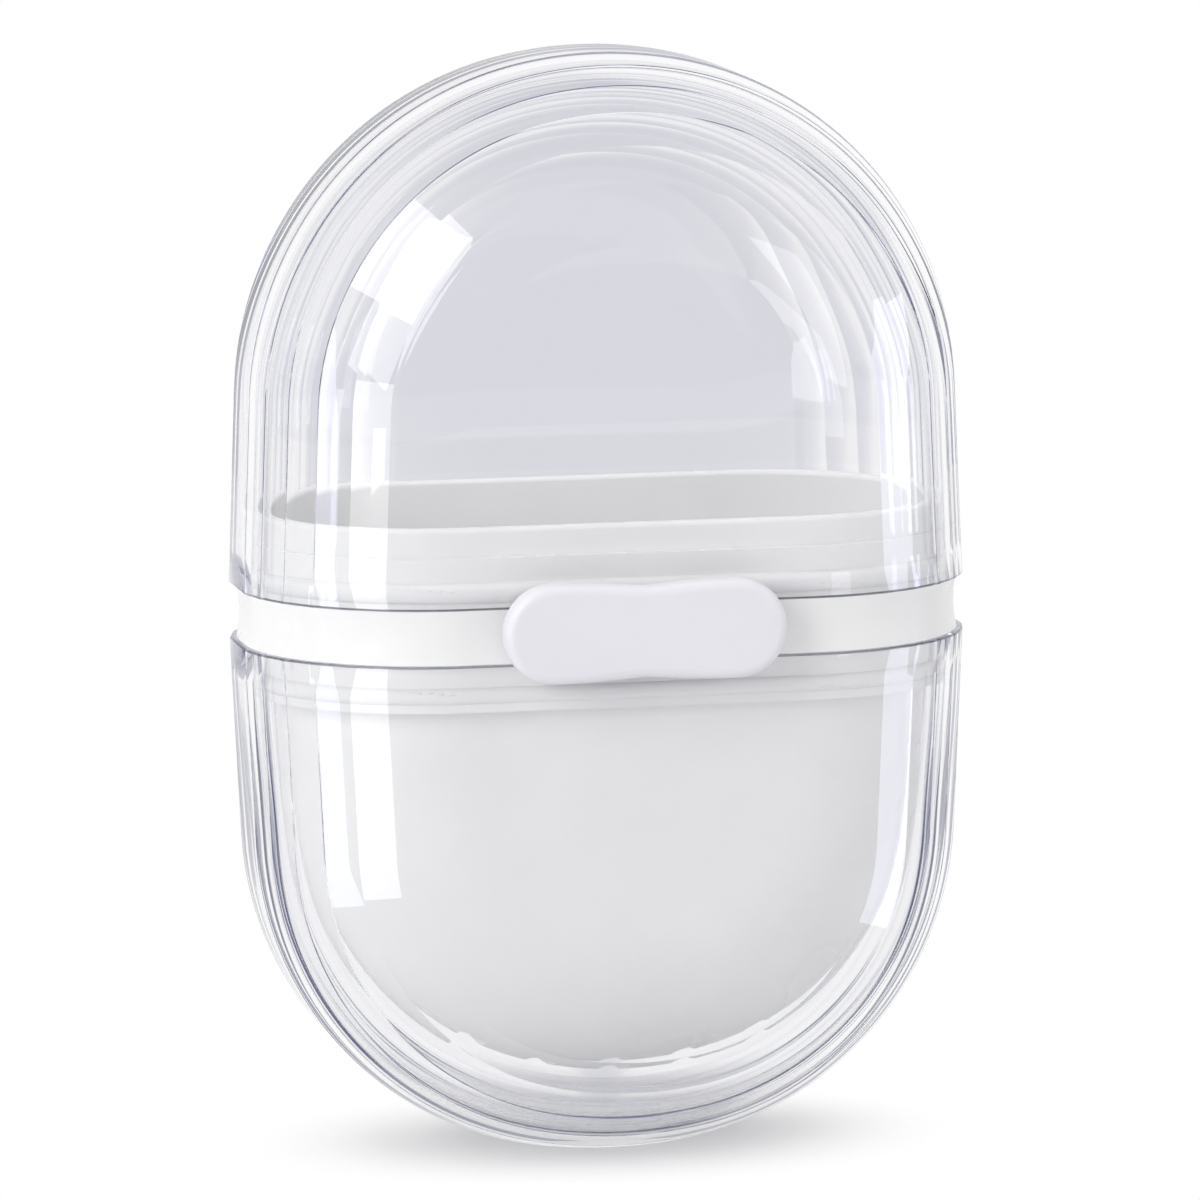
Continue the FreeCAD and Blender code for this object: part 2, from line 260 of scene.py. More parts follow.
@dataclass(frozen=True)
class MouldedPolymer(Finish):
    """Opaque plastic or rubber from a mould: an even colour under a fine grain that the tool leaves."""

    grain_spacing: float = 0.5
    grain_depth: float = 0.004
    patch_spacing: float = 12.0
    roughness_spread: float = 0.05
    shade: str = "#FFFFFF"
    specular: float = 0.5
    glow: float = 0.0
    glow_reach: float = 1.0

    def surface(self, tree: bpy.types.NodeTree) -> bpy.types.NodeSocket:
        """Builds the shader: cloudy tone and gloss, tool grain, and a little light carried inside."""
        patches = self.noise(tree, self.patch_spacing)
        tone = add_node(tree, "ShaderNodeMix", {
            "Factor": self.varied(tree, patches, 0.0, 1.0),
            6: linear(self.colour),
            7: linear(self.shade),
        }, data_type="RGBA")
        grain = self.noise(tree, self.grain_spacing, 3.0)
        low, high = self.roughness - self.roughness_spread, self.roughness + self.roughness_spread
        return add_node(tree, "ShaderNodeBsdfPrincipled", {
            "Base Color": tone.outputs[2],
            "Roughness": self.varied(tree, patches, low, high),
            "IOR": self.ior,
            "Specular IOR Level": self.specular,
            "Subsurface Weight": self.glow,
            "Subsurface Radius": (1.0, 1.0, 1.0),
            "Subsurface Scale": self.glow_reach * MM,
            "Normal": self.bump(tree, grain, self.grain_depth),
        }).outputs[0]


@dataclass(frozen=True)
class DrawnSteel(Finish):
    """Stainless steel wire, drawn through a die, which leaves fine streaks along it."""

    streak_spacing: float = 0.12
    streak_depth: float = 0.004
    streak_stretch: tuple[float, float, float] = (0.02, 1.0, 1.0)
    roughness_spread: float = 0.08

    def surface(self, tree: bpy.types.NodeTree) -> bpy.types.NodeSocket:
        """Builds the metal shader with streaks along the pin."""
        streaks = self.noise(tree, self.streak_spacing, 2.0, self.streak_stretch)
        low, high = self.roughness - self.roughness_spread, self.roughness + self.roughness_spread
        return add_node(tree, "ShaderNodeBsdfPrincipled", {
            "Base Color": linear(self.colour),
            "Metallic": 1.0,
            "Roughness": self.varied(tree, streaks, low, high),
            "Normal": self.bump(tree, streaks, self.streak_depth),
        }).outputs[0]


@dataclass(frozen=True)
class Backdrop:
    """White sheet behind the box, a little dimmer in its middle, with a dark edge.

    Angles are from its middle, in degrees.
    """

    colour: str = "#E2E2E8"
    middle: tuple[float, float, float] = (0.201, 0.980, 0.0)
    dim_to: float = 3.0
    white_from: float = 7.5
    white_to: float = 55.0
    edge_colour: str = "#3E4468"
    edge_from: float = 58.0
    edge_to: float = 64.0
    ends_at: float = 70.0

    def tone(self, tree: bpy.types.NodeTree, way: bpy.types.NodeSocket, beyond: str) -> bpy.types.NodeSocket:
        """Adds the tone that a ray sees; seen directly, the backdrop is plain white.

        Args:
            tree: Node tree of the world or of the floor.
            way: Direction that is looked in.
            beyond: Colour past the sheet's edges.

        Returns:
            The tone's colour.
        """
        facing = add_node(tree, "ShaderNodeVectorMath", {0: way, 1: self.middle}, operation="DOT_PRODUCT")
        tones = add_node(tree, "ShaderNodeValToRGB", {"Fac": facing.outputs["Value"]})
        stops = tones.color_ramp.elements
        stops[0].color = linear(beyond)
        stops[1].color = linear(self.colour)
        for angle, colour in ((self.ends_at, beyond), (self.edge_to, self.edge_colour),
                              (self.edge_from, self.edge_colour), (self.white_to, "#FFFFFF"),
                              (self.white_from, "#FFFFFF"), (self.dim_to, self.colour)):
            stops.new(math.cos(math.radians(angle))).color = linear(colour)
        direct = add_node(tree, "ShaderNodeLightPath").outputs["Is Camera Ray"]
        return add_node(tree, "ShaderNodeMix", {"Factor": direct, 6: tones.outputs["Color"], 7: (1, 1, 1, 1)},
                        data_type="RGBA").outputs[2]


BACKDROP = Backdrop()


@dataclass(frozen=True)
class SeamlessPaper(Finish):
    """White paper sweep under the box: plain near it, where its shadow falls, and pure white further off."""

    shadow_reach: float = 7.0
    white_from: float = 29.0
    shadow_shape: tuple[float, float, float] = (0.72, 1.0, 1.0)
    grain_spacing: float = 2.0
    grain_depth: float = 0.005

    def surface(self, tree: bpy.types.NodeTree) -> bpy.types.NodeSocket:
        """Builds the paper's shader."""
        grain = self.noise(tree, self.grain_spacing)
        paper = add_node(tree, "ShaderNodeBsdfDiffuse", {
            "Color": linear(self.colour),
            "Normal": self.bump(tree, grain, self.grain_depth),
        })
        place = add_node(tree, "ShaderNodeNewGeometry").outputs["Position"]
        oval = add_node(tree, "ShaderNodeVectorMath", {0: place, 1: self.shadow_shape}, operation="MULTIPLY")
        away = add_node(tree, "ShaderNodeVectorMath", {0: oval.outputs["Vector"]}, operation="LENGTH")
        far = add_node(tree, "ShaderNodeMapRange", {
            "Value": away.outputs["Value"],
            "From Min": self.shadow_reach * MM,
            "From Max": self.white_from * MM,
        }, interpolation_type="SMOOTHSTEP").outputs["Result"]
        way = add_node(tree, "ShaderNodeVectorMath", {0: place}, operation="NORMALIZE").outputs["Vector"]
        tone = BACKDROP.tone(tree, way, "#FFFFFF")
        white = add_node(tree, "ShaderNodeEmission", {"Color": tone, "Strength": 1.0})
        share = add_node(tree, "ShaderNodeMath", {0: far, 1: seen_share(tree)}, operation="MULTIPLY")
        return add_node(tree, "ShaderNodeMixShader", {
            0: share.outputs[0],
            1: paper.outputs[0],
            2: white.outputs[0],
        }).outputs[0]


def seen_share(tree: bpy.types.NodeTree) -> bpy.types.NodeSocket:
    """Adds a switch that is 1 for rays that show a background: from the camera, a mirror or something clear.

    Args:
        tree: Node tree of the backdrop.

    Returns:
        The switch, 0 or 1.
    """
    path = add_node(tree, "ShaderNodeLightPath").outputs
    first = add_node(tree, "ShaderNodeMath", {0: path["Is Camera Ray"], 1: path["Is Glossy Ray"]},
                     operation="MAXIMUM")
    return add_node(tree, "ShaderNodeMath", {0: first.outputs[0], 1: path["Is Transmission Ray"]},
                    operation="MAXIMUM").outputs[0]


# Clear shells: bright edges, mirror gloss, a faint grey body.
CLEAR = ClearStyrene("styrene_acrylonitrile_moulded_clear", "#FBFBFC", 0.0, 1.57)
# Lips of the clear shells: painted shade, a dark grey clear finish on the lip faces that draws a fine dark
# line along each mouth, where shade falls between the shells and the collar.
CLEAR_LIP_PAINTED_SHADE = ClearStyrene("styrene_acrylonitrile_lip_painted_shade", "#6C6E74", 0.0, 1.57)
# Tray: bright, slightly soft white with a broad gloss.
TRAY_WHITE = MouldedPolymer("polypropylene_moulded_white", "#F4F4F4", 0.26, 1.49, shade="#F0F0F0", glow=0.1,
                            specular=0.15)
# Clasp: pale lilac white, satin, so that it shows no sharp reflections.
CLASP_SATIN = MouldedPolymer("abs_moulded_satin", "#EAE9EE", 0.38, 1.53, grain_spacing=0.35,
                             grain_depth=0.008, shade="#E6E5EA")
# Seals: matt, milky silicone.
SILICONE = MouldedPolymer("silicone_moulded_milky", "#F4F4F4", 0.6, 1.41, shade="#F0F0F1", glow=0.3,
                          glow_reach=1.5)
# Pins: bright steel with fine streaks.
STEEL = DrawnSteel("stainless_steel_drawn", "#C9C9CC", 0.3)
# Floor: plain white paper with a soft shadow under the box.
PAPER = SeamlessPaper("paper_seamless_white", "#EEEEF0", 0.9)


@dataclass
class EndArch:
    """Front outline of one end of the capsule: drafted sides, two shoulders and a crown, all tangent.

    Sizes are in millimetres, and the draft is in degrees.
    """

    half: float
    height: float
    draft: float
    crown_extra: float
    shoulder_tuck: float
    straight_steps: int = 6
    shoulder_steps: int = 44
    crown_steps: int = 26

    def __post_init__(self) -> None:
        """Finds where the straight side meets the shoulder, and the shoulder the crown."""
        self.lean = math.radians(self.draft)
        self.slope = math.tan(self.lean)
        self.crown = self.half + self.crown_extra
        self.shoulder = self.half - self.shoulder_tuck
        across = self.half - self.shoulder * math.cos(self.lean)
        along = self.shoulder * math.sin(self.lean) + self.height - self.crown
        middle = across * self.slope + along
        scale = 1 + self.slope ** 2
        spread = self.crown - self.shoulder
        root = math.sqrt(middle ** 2 - scale * (across ** 2 + along ** 2 - spread ** 2))
        straight = (middle + root) / scale
        self.shoulder_x = across - straight * self.slope
        self.shoulder_t = straight - self.shoulder * math.sin(self.lean)
        self.crown_t = self.height - self.crown
        self.turn = math.atan2(self.shoulder_x, self.shoulder_t - self.crown_t)

    def side(self, inset: float, t: float) -> float:
        """Distance from the middle to the drafted side, moved inwards by inset, at t from the mouth."""
        return self.half - inset / math.cos(self.lean) - t * self.slope

    def path(self, inset: float, start: float) -> list[tuple[float, float]]:
        """Points from the left of the mouth, over the crown, to the right of the mouth.

        Args:
            inset: How far the outline is moved inwards.
            start: How far from the mouth it starts and ends.

        Returns:
            Distances from the middle and from the mouth.
        """
        side = self.shoulder - inset
        top = self.crown - inset
        side_t = self.shoulder_t + side * math.sin(self.lean)
        straight = np.linspace(start, side_t, self.straight_steps, endpoint=False)
        half = [(self.side(inset, t), t) for t in straight]
        for angle in np.linspace(math.pi / 2 - self.lean, self.turn, self.shoulder_steps, endpoint=False):
            half.append((self.shoulder_x + side * math.sin(angle), self.shoulder_t + side * math.cos(angle)))
        for angle in np.linspace(self.turn, 0.0, self.crown_steps, endpoint=False):
            half.append((top * math.sin(angle), self.crown_t + top * math.cos(angle)))
        return [(-x, t) for x, t in half] + [(0.0, self.crown_t + top)] + half[::-1]


class SectionPoint(NamedTuple):
    """Point of a shell's section: its inset, its depth, the corner's turn there, and if its edge is sharp."""

    inset: float
    y: float
    turn: float
    sharp: bool


@dataclass
class ClearShell:
    """One clear end of the capsule, with creased corners outside and smooth ones inside.

    Sizes are in millimetres, and the panel's edge is in degrees. The wall is thin from the mouth to thin_to.
    """

    name: str
    node: str
    body: Body
    arch: EndArch
    mouth: float
    sense: Sense
    half_depth: float
    thin_to: float
    side_straight: float = 3.8
    side_flat: float = 9.7
    corner_facets: int = 7
    creased_facets: int = 5
    front_grooves: int = 4
    wall: float = 2.4
    mouth_wall: float = 1.1
    corner_fill: float = 0.0
    panel_edge: float = 0.0
    crease_width: float = 0.18
    crease_depth: float = 0.07
    lip_rounding: float = 0.26
    lip_steps: int = 6
    rim_gap: float = 0.03
    taper_height: float = 22.0
    facet_crown: float = 0.02
    facet_steps: int = 4
    corner_steps: int = 44
    smooth_steps: int = 12
    flat_margin: float = 0.6

    @property
    def corner_radius(self) -> float:
        """Radius of the outside corners."""
        return self.half_depth - self.side_straight / 2

    def place(self, x: float, y: float, t: float) -> Vector:
        """Point in the row frame, in metres, at a distance t from the mouth."""
        return Vector((x, y, self.mouth + self.sense * t)) * MM

    def outer_corner(self, grooves: int) -> list[SectionPoint]:
        """Works out the outside section from the middle of a side to the back.

        Args:
            grooves: How many creases, counted from the side, have a fine groove along them.

        Returns:
            Points from the side to the back: flat facets, then a smooth turn into the flat back.
        """
        radius = self.corner_radius
        first = math.asin((self.side_flat / 2 - self.side_straight / 2) / radius)
        step = (math.pi / 2 - first) / self.corner_facets
        creases = [first + index * step for index in range(self.creased_facets + 1)]
        smooth = list(np.linspace(creases[-1], math.pi / 2, self.smooth_steps + 1)[1:])

        def corner(turn: float) -> np.ndarray:
            """Inset and depth of the corner at a turn from the side, towards the back."""
            return np.array((radius * (math.cos(first) - math.cos(turn)),
                             self.half_depth - radius * (1 - math.sin(turn))))

        points: list[SectionPoint] = []
        for index, turn in enumerate(creases):
            here = corner(turn)
            if index:
                points += self.crown_points(corner(creases[index - 1]), here, creases[index - 1], turn)
            if index >= grooves:
                points.append(SectionPoint(here[0], here[1], turn, True))
                continue
            before = corner(creases[index - 1]) if index else here - np.array((0.0, 1.0))
            after = corner(creases[index + 1])
            inwards = np.array((math.cos(turn), -math.sin(turn)))
            half_width = self.crease_width / 2
            for point in (
                here + (before - here) / np.linalg.norm(before - here) * half_width,
                here + inwards * self.crease_depth,
                here + (after - here) / np.linalg.norm(after - here) * half_width,
            ):
                points.append(SectionPoint(point[0], point[1], turn, True))
        for turn in smooth:
            inset, y = corner(turn)
            points.append(SectionPoint(inset, y, turn, False))
        last = points[-1]
        points.append(SectionPoint(last.inset + self.flat_margin, last.y, last.turn, True))
        return points

    def crown_points(self, start: np.ndarray, end: np.ndarray, turn: float,
                     next_turn: float) -> list[SectionPoint]:
        """Points between two creases, where the facet is very slightly crowned.

        Args:
            start: Inset and depth of the first crease.
            end: Inset and depth of the next one.
            turn: The corner's turn at the first crease.
            next_turn: The corner's turn at the next one.

        Returns:
            The points between the creases.
        """
        middle = (turn + next_turn) / 2
        points = []
        for share in np.linspace(0, 1, self.facet_steps + 1)[1:-1]:
            rise = 4 * share * (1 - share) * self.facet_crown
            inset, y = start + (end - start) * share - np.array((math.cos(middle), -math.sin(middle))) * rise
            points.append(SectionPoint(inset, y, middle, False))
        return points

    def outer_section(self) -> list[SectionPoint]:
        """Works out the whole outside section.

        Returns:
            Points from front to back; only the front's creases are grooved.
        """
        front = [SectionPoint(point.inset, -point.y, -point.turn, point.sharp)
                 for point in reversed(self.outer_corner(self.front_grooves))]
        return front + self.outer_corner(0)

    def inner_section(self, wall: float, fill: float = 0.0, edge: float = 0.0) -> list[SectionPoint]:
        """Works out the inside section.

        Args:
            wall: Thickness of the wall there.
            fill: How much larger the inside corners are than the wall alone makes them.
            edge: Angle, in degrees, of the faint edge between a corner and the flat panel.

        Returns:
            Points from front to back, rounded without creases.
        """
        centre = self.side_straight / 2 - fill
        kink = math.radians(edge)
        radius = (self.half_depth - wall - centre) / math.cos(kink)
        back = [SectionPoint(wall, centre - self.flat_margin, 0.0, False)]
        for turn in np.linspace(0, math.pi / 2 - kink, self.corner_steps + 1):
            inset = wall + radius * (1 - math.cos(turn))
            back.append(SectionPoint(inset, centre + radius * math.sin(turn), turn, False))
        last = back[-1]._replace(sharp=edge > 0)
        back[-1] = last
        back.append(SectionPoint(last.inset + self.flat_margin, last.y, last.turn, True))
        front = [SectionPoint(point.inset, -point.y, -point.turn, point.sharp) for point in reversed(back)]
        return front + back

    def column(self, bm: bmesh.types.BMesh, point: SectionPoint,
               low: Optional[SectionPoint]) -> list[bmesh.types.BMVert]:
        """Adds the points of one outline over the crown.

        Args:
            bm: Mesh that takes the points.
            point: Where the section has the outline.
            low: Where the section has it next to the mouth, if the wall is thinner there.

        Returns:
            The points from the left of the mouth to the right.
        """
        path = []
        thin = low or point
        outlines = (self.arch.path(section.inset, self.lip_rounding) for section in (thin, point))
        for (thin_x, thin_t), (x, t) in zip(*outlines):
            share = min(max((t - self.thin_to) / self.taper_height, 0.0), 1.0)
            share *= share * (3 - 2 * share)
            path.append((thin_x + (x - thin_x) * share, thin.y + (point.y - thin.y) * share,
                         thin_t + (t - thin_t) * share))
        return [bm.verts.new(self.place(x, y, t)) for x, y, t in path]

    def skin(self, bm: bmesh.types.BMesh, section: list[SectionPoint], outwards: int,
             thinned: Optional[list[SectionPoint]] = None) -> list[bmesh.types.BMVert]:
        """Builds one side of the wall, its flat faces and its rounded lip.

        Args:
            bm: Mesh that takes the faces.
            section: Points from front to back.
            outwards: 1 where the lip turns inwards to the rim, -1 where it turns outwards to it.
            thinned: The same points next to the mouth, where the wall is thinner there.

        Returns:
            The ring of points where the lip meets the flat rim.
        """
        lows = thinned or [None] * len(section)
        columns = [self.column(bm, point, low) for point, low in zip(section, lows)]
        for left, right in zip(columns, columns[1:]):
            for index in range(len(left) - 1):
                bm.faces.new((left[index], left[index + 1], right[index + 1], right[index]))
        for column in (columns[0], columns[-1]):
            crown = len(column) // 2
            if thinned:
                for level in range(crown - 1):
                    bm.faces.new((column[level], column[level + 1], column[-2 - level], column[-1 - level]))
                column = column[crown - 1:crown + 2]
            bm.faces.new(column)
        for point, column in zip(section, columns):
            if point.sharp:
                for low, high in zip(column, column[1:]):
                    bm.edges.get((low, high)).smooth = False
        ring = [column[-1] for column in columns] + [column[0] for column in reversed(columns)]
        turns = [point.turn for point in section]
        inwards = [Vector((-math.cos(turn), -math.sin(turn), 0)) for turn in turns]
        inwards += [Vector((math.cos(turn), -math.sin(turn), 0)) for turn in reversed(turns)]
        start = [vert.co.copy() for vert in ring]
        for step in range(1, self.lip_steps + 1):
            angle = math.pi / 2 * step / self.lip_steps
            aside = outwards * self.lip_rounding * (1 - math.cos(angle)) * MM
            down = -self.sense * (self.lip_rounding - self.rim_gap) * math.sin(angle) * MM
            row = [bm.verts.new(at + way * aside + Vector((0, 0, down))) for at, way in zip(start, inwards)]
            for index in range(len(ring)):
                after = (index + 1) % len(ring)
                lip = bm.faces.new((ring[index], ring[after], row[after], row[index]))
                # The lip faces take the dark lip finish: painted shade along the mouth.
                lip.material_index = 1
            ring = row
        return ring

    def mesh(self) -> bpy.types.Mesh:
        """Builds the whole shell as one closed mesh.

        Returns:
            The mesh, in metres in the row frame.
        """
        bm = bmesh.new()
        inside = self.inner_section(self.wall, self.corner_fill, self.panel_edge)
        rings = [self.skin(bm, self.outer_section(), 1),
                 self.skin(bm, inside, -1, self.inner_section(self.mouth_wall))]
        rim = []
        for ring in rings:
            for index, vert in enumerate(ring):
                edge = bm.edges.get((vert, ring[(index + 1) % len(ring)]))
                edge.smooth = False
                rim.append(edge)
        bmesh.ops.triangle_fill(bm, use_beauty=True, edges=rim)
        self.trim(bm)
        bmesh.ops.recalc_face_normals(bm, faces=bm.faces[:])
        for face in bm.faces:
            face.smooth = True
        mesh = bpy.data.meshes.new(self.name)
        bm.to_mesh(mesh)
        bm.free()
        return mesh

    def trim(self, bm: bmesh.types.BMesh) -> None:
        """Cuts what the shell doesn't keep; a plain shell keeps all of it."""

    def build(self) -> bpy.types.Object:
        """Makes the shell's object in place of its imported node.

        Returns:
            The dressed object.
        """
        shell = bpy.data.objects.new(self.name, self.mesh())
        bpy.context.scene.collection.objects.link(shell)
        # The second finish, on the lips, is painted shade.
        for finish in (CLEAR, CLEAR_LIP_PAINTED_SHADE):
            shell.data.materials.append(finish.material())
        self.join(shell)
        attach(shell, self.body.value)
        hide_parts(self.node)
        LOG.info("%s: %d faces", shell.name, len(shell.data.polygons))
        return shell

    def join(self, shell: bpy.types.Object) -> None:
        """Adds what is moulded on to the shell; a plain shell has nothing."""


@dataclass
class BaseShell(ClearShell):
    """Lower end, which stands on a small flat foot."""

    def trim(self, bm: bmesh.types.BMesh) -> None:
        """Cuts the crown flat at the floor and closes the cut."""
        geometry = bm.verts[:] + bm.edges[:] + bm.faces[:]
        cut = bmesh.ops.bisect_plane(bm, geom=geometry, plane_co=(0, 0, 0), plane_no=(0, 0, -1),
                                     clear_outer=True)
        edges = [item for item in cut["geom_cut"] if isinstance(item, bmesh.types.BMEdge)]
        bmesh.ops.contextual_create(bm, geom=edges)
        for edge in edges:
            edge.smooth = False


@dataclass
class LidShell(ClearShell):
    """Upper end, with two hinge ears at the back and a catch at the front moulded on."""

    corner_fill: float = 1.2
    panel_edge: float = 9.0
    hinge_y: float = 24.6
    hinge_z: float = 59.35
    barrel_radius: float = 2.1
    bore_radius: float = 0.85
    knuckle_length: float = 12.0
    ear_length: float = 7.5
    ear_gap: float = 0.25
    ear_height: float = 6.0
    ear_root: float = 0.8
    ear_tip: float = 0.4
    ear_front: float = 22.85
    ear_rounding: float = 1.9
    ear_lift: float = 0.35
    catch_length: float = 12.0
    catch_height: float = 0.7
    catch_reach: float = 0.7
    catch_lift: float = 0.1
    round_steps: int = 28
    rounding_steps: int = 8

    def ear_outline(self) -> list[tuple[float, float]]:
        """Side outline of an ear, as depth and height: a tapered leg that runs into the hinge barrel."""
        top = self.mouth + self.ear_height
        low = self.mouth + self.ear_lift
        outline = [(self.half_depth - self.ear_root, low), (self.half_depth - self.ear_root, top),
                   (self.half_depth + self.ear_tip, top)]
        turn_in = math.acos((self.ear_front - self.hinge_y) / self.barrel_radius)
        for angle in np.linspace(0, turn_in - 2 * math.pi, self.round_steps):
            outline.append((self.hinge_y + self.barrel_radius * math.cos(angle),
                            self.hinge_z + self.barrel_radius * math.sin(angle)))
        outline.append((self.ear_front, low))
        return outline

    def catch_outline(self) -> list[tuple[float, float]]:
        """Side outline of the catch, as depth and height: a small ramp over a flat ledge."""
        low = self.mouth + self.catch_lift
        root = -self.half_depth + self.ear_root
        tip = -self.half_depth - self.catch_reach
        return [(root, low), (root, low + self.catch_height), (-self.half_depth, low + self.catch_height),
                (tip, low + self.catch_height / 2), (tip, low)]

    def bar(self, bm: bmesh.types.BMesh, outline: list[tuple[float, float]], middle: float, length: float,
            round_top: float = 0.0) -> None:
        """Adds a bar along X with the given side outline.

        Args:
            bm: Mesh that takes the bar.
            outline: Depths and heights, in order.
            middle: Middle of the bar's length.
            length: The bar's length.
            round_top: Radius of its two top corners, seen from the back.
        """
        ends = []
        for x in (middle - length / 2, middle + length / 2):
            ends.append([bm.verts.new(Vector((x, y, z)) * MM) for y, z in outline])
        faces = [bm.faces.new(ends[0]), bm.faces.new(ends[1][::-1])]
        for index in range(len(outline)):
            after = (index + 1) % len(outline)
            faces.append(bm.faces.new((ends[0][after], ends[0][index], ends[1][index], ends[1][after])))
        if round_top:
            top = max(z for _, z in outline) * MM
            corners = [edge for end in ends for edge in {e for vert in end for e in vert.link_edges}
                       if all(abs(vert.co.z - top) < SAME_PLACE for vert in edge.verts)
                       and abs(edge.verts[0].co.x - edge.verts[1].co.x) < SAME_PLACE]
            bmesh.ops.bevel(bm, geom=corners, offset=round_top * MM, segments=self.rounding_steps,
                            profile=0.5, affect="EDGES")

    def join(self, shell: bpy.types.Object) -> None:
        """Unites the ears and the catch with the shell, and bores the ears for the pin."""
        added, bores = bmesh.new(), bmesh.new()
        for side in (-1, 1):
            middle = side * (self.knuckle_length + 2 * self.ear_gap + self.ear_length) / 2
            self.bar(added, self.ear_outline(), middle, self.ear_length, self.ear_rounding)
        self.bar(added, self.catch_outline(), 0.0, self.catch_length)
        circle = [(self.hinge_y + self.bore_radius * math.cos(angle),
                   self.hinge_z + self.bore_radius * math.sin(angle))
                  for angle in np.linspace(0, 2 * math.pi, self.round_steps, endpoint=False)]
        self.bar(bores, circle, 0.0, 2 * self.arch.half)
        for bm, operation in ((added, "UNION"), (bores, "DIFFERENCE")):
            bmesh.ops.recalc_face_normals(bm, faces=bm.faces[:])
            combine(shell, bm, operation)


def combine(target: bpy.types.Object, bm: bmesh.types.BMesh, operation: str) -> None:
    """Unites a mesh with an object, or cuts it out of it, and keeps the result as the object's mesh.

    Args:
        target: Object that changes.
        bm: Mesh to unite or cut; it is freed.
        operation: The boolean modifier's operation.
    """
    mesh = bpy.data.meshes.new("joined")
    bm.to_mesh(mesh)
    bm.free()
    tool = bpy.data.objects.new("joined", mesh)
    bpy.context.scene.collection.objects.link(tool)
    modifier = target.modifiers.new("join", "BOOLEAN")
    modifier.operation = operation
    modifier.solver = "EXACT"
    modifier.object = tool
    bpy.context.view_layer.update()
    whole = bpy.data.meshes.new_from_object(target.evaluated_get(bpy.context.evaluated_depsgraph_get()))
    whole.name = target.data.name
    target.modifiers.clear()
    target.data = whole
    bpy.data.objects.remove(tool)
    bpy.data.meshes.remove(mesh)


def dress(node: str, finish: Finish) -> None:
    """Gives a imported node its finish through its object's material slot.

    Args:
        node: Name of the node.
        finish: Finish to show.
    """
    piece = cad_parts[node]
    piece.material_slots[0].link = "OBJECT"
    piece.material_slots[0].material = finish.material()
    LOG.info("%s: %s", node, finish.name)


@dataclass
class SoapTray:
    """White tray with its silicone rings and steel pins; sizes are in millimetres."""

    tray: str = "soap_tray"
    seals: tuple[str, ...] = ("lid_seal", "base_seal")
    pins: tuple[str, ...] = ("hinge_pin", "clasp_pin")
    seal_swell: float = 0.28
    weld_reach: float = 0.001

    def build(self) -> None:
        """Dresses the tray and what is fixed to it; the soft rings are welded, and swell in their grooves."""
        dress(self.tray, TRAY_WHITE)
        for seal in self.seals:
            dress(seal, SILICONE)
            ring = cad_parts[seal]
            ring.modifiers.new("weld", "WELD").merge_threshold = self.weld_reach * MM
            swell = ring.modifiers.new("swell", "DISPLACE")
            swell.mid_level = 0.0
            swell.strength = self.seal_swell * MM
        for pin in self.pins:
            dress(pin, STEEL)


@dataclass
class PressClasp:
    """Satin clasp at the front."""

    node: str = "front_clasp"

    def build(self) -> None:
        """Dresses the clasp."""
        dress(self.node, CLASP_SATIN)


@dataclass(frozen=True)
class Softbox:
    """Area lamp that looks at the box; places and sizes are in metres, and the roll is in degrees."""

    name: str
    place: tuple[float, float, float]
    size: tuple[float, float]
    power: float
    role: LampRole
    colour: str = "#FFFFFF"
    roll: float = 0.0

    def build(self, target: Vector) -> None:
        """Makes the lamp.

        Args:
            target: Point that the lamp faces.
        """
        lamp = bpy.data.lights.new(self.name, "AREA")
        lamp.shape = "RECTANGLE"
        lamp.size, lamp.size_y = self.size
        lamp.energy = self.power
        lamp.color = linear(self.colour)[:3]
        holder = bpy.data.objects.new(self.name, lamp)
        holder.location = self.place
        turn = (target - Vector(self.place)).to_track_quat("-Z", "Y")
        holder.rotation_euler = (turn @ Quaternion((0, 0, 1), math.radians(self.roll))).to_euler()
        holder.visible_diffuse = self.role is LampRole.LIGHT
        holder.visible_glossy = self.role is LampRole.GLINT
        holder.visible_transmission = self.role is LampRole.GLINT
        bpy.context.scene.collection.objects.link(holder)


